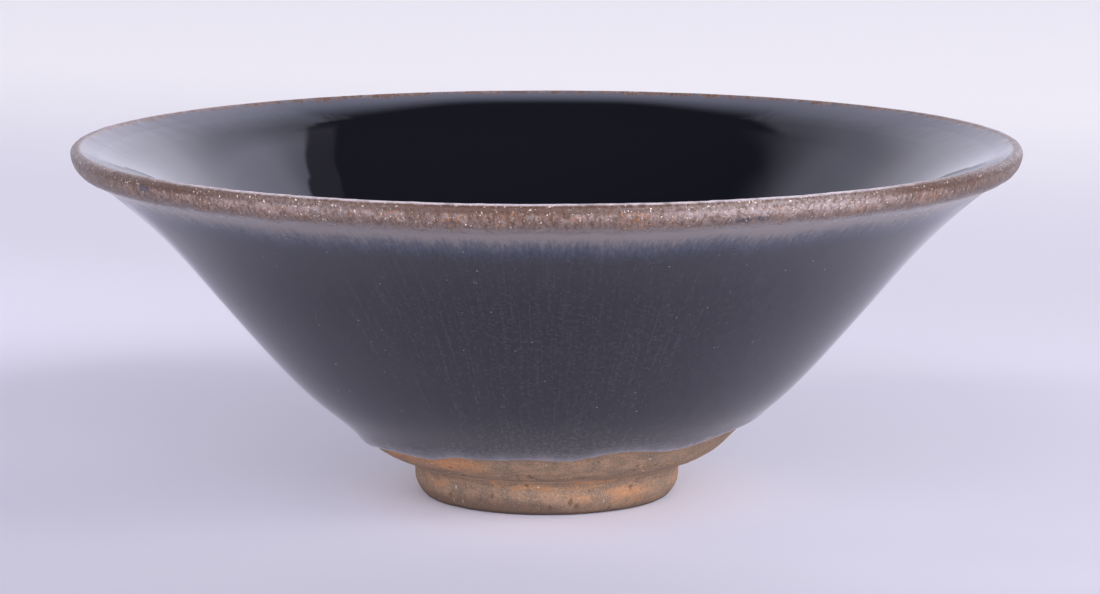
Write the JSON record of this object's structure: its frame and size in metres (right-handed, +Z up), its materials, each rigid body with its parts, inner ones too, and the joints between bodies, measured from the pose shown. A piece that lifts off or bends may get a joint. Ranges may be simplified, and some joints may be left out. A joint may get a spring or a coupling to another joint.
{
  "type": "tea bowl",
  "caption": "Shallow conical stoneware tea bowl with a black glaze, a rust-brown rolled lip and a bare turned foot.",
  "frame": {"origin": "middle of the foot, on the surface that the bowl stands on", "axes": "+Z up along the bowl's axis, towards the mouth; -Y is the front, as in the picture; +X is the picture's right"},
  "size_m": [0.13, 0.13, 0.049],
  "materials": {
    "bare_clay": "unglazed tan stoneware, fired rusty in patches, dry and gritty, with fine turning lines",
    "black_glaze": "glossy blue-black glaze with faint fur-like streaks under the lip",
    "rust_glaze": "thin rust-brown glaze, half gloss, speckled with fine bright grains"
  },
  "bodies": {
    "root": {"clay_bowl": "bare_clay", "turned_foot": "bare_clay", "outer_glaze": "black_glaze", "inner_glaze": "black_glaze", "lip_glaze": "rust_glaze"}
  },
  "joints": []
}
